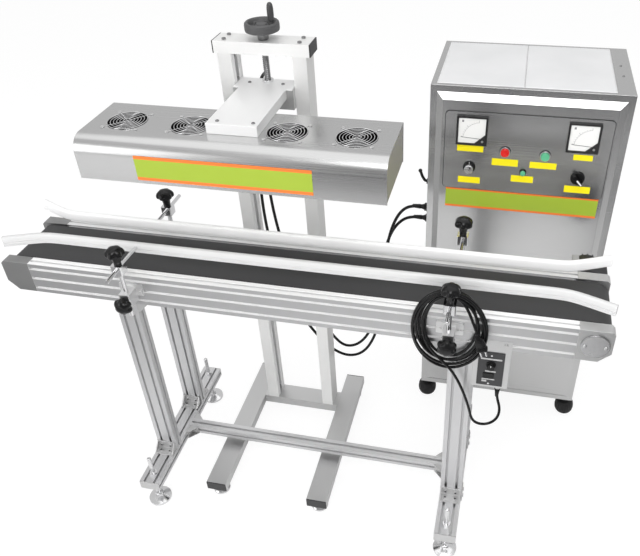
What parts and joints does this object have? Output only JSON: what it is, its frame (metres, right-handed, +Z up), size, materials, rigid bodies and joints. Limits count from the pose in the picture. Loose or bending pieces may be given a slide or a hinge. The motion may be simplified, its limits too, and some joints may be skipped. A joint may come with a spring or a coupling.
{
  "type": "induction cap sealer",
  "caption": "Belt conveyor with adjustable guides, a floor stand that carries a sealing head over the belt by a hand screw, and a separate generator cabinet.",
  "frame": {"origin": "middle of the machine's footprint, on the floor", "axes": "+X along the belt to the drive end, +Y from the operator's side to the cabinet, +Z up"},
  "size_m": [1.5629, 0.927, 1.358],
  "materials": {
    "aluminium_section": "satin anodised",
    "cast_aluminium": "bead blasted",
    "bright_steel": "polished",
    "stainless_sheet": "brushed",
    "pale_plate": "satin",
    "zinc_steel": "zinc plated",
    "belt_black": "matte",
    "roller_steel": "turned",
    "motor_black": "satin black",
    "knob_black": "semi gloss",
    "cap_black": "matte",
    "control_black": "matte",
    "plate_grey": "satin",
    "meter_black": "gloss",
    "lamp_green": "gloss",
    "button_red": "gloss",
    "button_green": "gloss",
    "guide_white": "satin",
    "board_white": "matte",
    "fan_black": "matte",
    "foot_rubber": "matte",
    "cable_rubber": "matte"
  },
  "bodies": {
    "base": {"side_rails": "aluminium_section", "end_blocks": "cast_aluminium", "conveyor_belt": "belt_black", "slider_bed": "stainless_sheet", "roller_bearings": "bright_steel", "drive_motor": "motor_black", "leg_uprights": "aluminium_section", "frame_bars": "aluminium_section", "frame_brackets": "cast_aluminium", "levelling_feet": "zinc_steel", "end_caps": "cap_black", "control_box": "stainless_sheet", "control_face": "control_black", "guide_clamps": "cast_aluminium", "stand_frame": "stainless_sheet", "top_crossbar": "stainless_sheet", "cabinet_body": "stainless_sheet", "cabinet_panel": "stainless_sheet", "instrument_plate": "plate_grey", "meter_cases": "meter_black", "cabinet_feet": "foot_rubber", "pilot_lamp": "lamp_green", "cable_glands": "knob_black", "power_cord": "cable_rubber", "head_cable_left": "cable_rubber", "head_cable_right": "cable_rubber"},
    "drive_roller": {"drive_roller": "roller_steel"},
    "idler_roller": {"idler_roller": "roller_steel"},
    "speed_dial": {"speed_dial": "knob_black"},
    "front_posts": {"front_posts": "bright_steel", "power_coil": "cable_rubber", "power_plug": "cable_rubber"},
    "front_guide": {"front_guide": "guide_white"},
    "rear_posts": {"rear_posts": "bright_steel"},
    "rear_guide": {"rear_guide": "guide_white"},
    "head": {"carriage": "pale_plate", "head_arm": "pale_plate", "head_shell": "stainless_sheet", "sealing_coil": "board_white", "fan_frames": "fan_black", "fan_guards": "bright_steel"},
    "lift_drive": {"lift_screw": "zinc_steel", "handwheel": "knob_black"},
    "crank_grip": {"crank_grip": "knob_black"},
    "red_button": {"red_button": "button_red"},
    "green_button": {"green_button": "button_green"},
    "level_knob": {"level_knob": "knob_black"},
    "selector_switch": {"selector_switch": "knob_black"},
    "upper_knob_front_left": {"upper_knob_front_left": "knob_black"},
    "lower_knob_front_left": {"lower_knob_front_left": "knob_black"},
    "upper_knob_front_right": {"upper_knob_front_right": "knob_black"},
    "lower_knob_front_right": {"lower_knob_front_right": "knob_black"},
    "upper_knob_rear_left": {"upper_knob_rear_left": "knob_black"},
    "lower_knob_rear_left": {"lower_knob_rear_left": "knob_black"},
    "upper_knob_rear_right": {"upper_knob_rear_right": "knob_black"},
    "lower_knob_rear_right": {"lower_knob_rear_right": "knob_black"},
    "fan_rotor_1": {"fan_rotor_1": "fan_black"},
    "fan_rotor_2": {"fan_rotor_2": "fan_black"},
    "fan_rotor_3": {"fan_rotor_3": "fan_black"},
    "fan_rotor_4": {"fan_rotor_4": "fan_black"}
  },
  "joints": [
    {"name": "drive_roller_spin", "type": "hinge", "parent": "base", "child": "drive_roller", "pos_m": [0.7165, -0.2205, 0.732], "axis": [0, 1, 0], "continuous": true},
    {"name": "idler_roller_spin", "type": "hinge", "parent": "base", "child": "idler_roller", "pos_m": [-0.7415, -0.2205, 0.732], "axis": [0, 1, 0], "continuous": true},
    {"name": "speed_dial_turn", "type": "hinge", "parent": "base", "child": "speed_dial", "pos_m": [0.4935, -0.3343, 0.637], "axis": [0, -1, 0], "range_deg": [-150, 150]},
    {"name": "front_guide_height", "type": "slide", "parent": "base", "child": "front_posts", "axis": [0, 0, 1], "range_m": [-0.02, 0.04]},
    {"name": "front_guide_width", "type": "slide", "parent": "front_posts", "child": "front_guide", "axis": [0, 1, 0], "range_m": [-0.054, 0.04]},
    {"name": "rear_guide_height", "type": "slide", "parent": "base", "child": "rear_posts", "axis": [0, 0, 1], "range_m": [-0.02, 0.04]},
    {"name": "rear_guide_width", "type": "slide", "parent": "rear_posts", "child": "rear_guide", "axis": [0, 1, 0], "range_m": [-0.04, 0.04]},
    {"name": "head_lift", "type": "slide", "parent": "base", "child": "head", "axis": [0, 0, 1], "range_m": [-0.18, 0.055]},
    {"name": "handwheel_spin", "type": "hinge", "parent": "base", "child": "lift_drive", "pos_m": [-0.1175, 0.0055, 1.303], "axis": [0, 0, 1], "range_deg": [-13000, 4000]},
    {"name": "crank_grip_spin", "type": "hinge", "parent": "lift_drive", "child": "crank_grip", "pos_m": [-0.0935, 0.0055, 1.33], "axis": [0, 0, 1], "continuous": true},
    {"name": "red_button_press", "type": "slide", "parent": "base", "child": "red_button", "axis": [0, 1, 0], "range_m": [0, 0.004], "stiffness_N_per_m": 400},
    {"name": "green_button_press", "type": "slide", "parent": "base", "child": "green_button", "axis": [0, 1, 0], "range_m": [0, 0.004], "stiffness_N_per_m": 400},
    {"name": "level_knob_turn", "type": "hinge", "parent": "base", "child": "level_knob", "pos_m": [0.3815, 0.1135, 0.918], "axis": [0, -1, 0], "range_deg": [-135, 135]},
    {"name": "selector_switch_turn", "type": "hinge", "parent": "base", "child": "selector_switch", "pos_m": [0.6625, 0.1135, 0.91], "axis": [0, -1, 0], "range_deg": [-45, 45]},
    {"name": "upper_knob_front_left_turn", "type": "hinge", "parent": "front_posts", "child": "upper_knob_front_left", "pos_m": [-0.4155, -0.3585, 0.832], "axis": [0, 0, 1], "continuous": true},
    {"name": "lower_knob_front_left_turn", "type": "hinge", "parent": "base", "child": "lower_knob_front_left", "pos_m": [-0.4155, -0.3725, 0.72], "axis": [0, -1, 0], "continuous": true},
    {"name": "upper_knob_front_right_turn", "type": "hinge", "parent": "front_posts", "child": "upper_knob_front_right", "pos_m": [0.3905, -0.3585, 0.832], "axis": [0, 0, 1], "continuous": true},
    {"name": "lower_knob_front_right_turn", "type": "hinge", "parent": "base", "child": "lower_knob_front_right", "pos_m": [0.3905, -0.3725, 0.72], "axis": [0, -1, 0], "continuous": true},
    {"name": "upper_knob_rear_left_turn", "type": "hinge", "parent": "rear_posts", "child": "upper_knob_rear_left", "pos_m": [-0.4155, -0.0825, 0.832], "axis": [0, 0, 1], "continuous": true},
    {"name": "lower_knob_rear_left_turn", "type": "hinge", "parent": "base", "child": "lower_knob_rear_left", "pos_m": [-0.4155, -0.0685, 0.72], "axis": [0, 1, 0], "continuous": true},
    {"name": "upper_knob_rear_right_turn", "type": "hinge", "parent": "rear_posts", "child": "upper_knob_rear_right", "pos_m": [0.3905, -0.0825, 0.832], "axis": [0, 0, 1], "continuous": true},
    {"name": "lower_knob_rear_right_turn", "type": "hinge", "parent": "base", "child": "lower_knob_rear_right", "pos_m": [0.3905, -0.0685, 0.72], "axis": [0, 1, 0], "continuous": true},
    {"name": "fan_rotor_1_spin", "type": "hinge", "parent": "head", "child": "fan_rotor_1", "pos_m": [-0.387, -0.2155, 1.128], "axis": [0, 0, 1], "continuous": true},
    {"name": "fan_rotor_2_spin", "type": "hinge", "parent": "head", "child": "fan_rotor_2", "pos_m": [-0.229, -0.2155, 1.128], "axis": [0, 0, 1], "continuous": true},
    {"name": "fan_rotor_3_spin", "type": "hinge", "parent": "head", "child": "fan_rotor_3", "pos_m": [-0.001, -0.2155, 1.128], "axis": [0, 0, 1], "continuous": true},
    {"name": "fan_rotor_4_spin", "type": "hinge", "parent": "head", "child": "fan_rotor_4", "pos_m": [0.157, -0.2155, 1.128], "axis": [0, 0, 1], "continuous": true}
  ],
  "couplings": [
    {"joint": "idler_roller_spin", "follows": "drive_roller_spin", "ratio": 1},
    {"joint": "handwheel_spin", "follows": "head_lift", "rad_per_m": 1256.6}
  ]
}
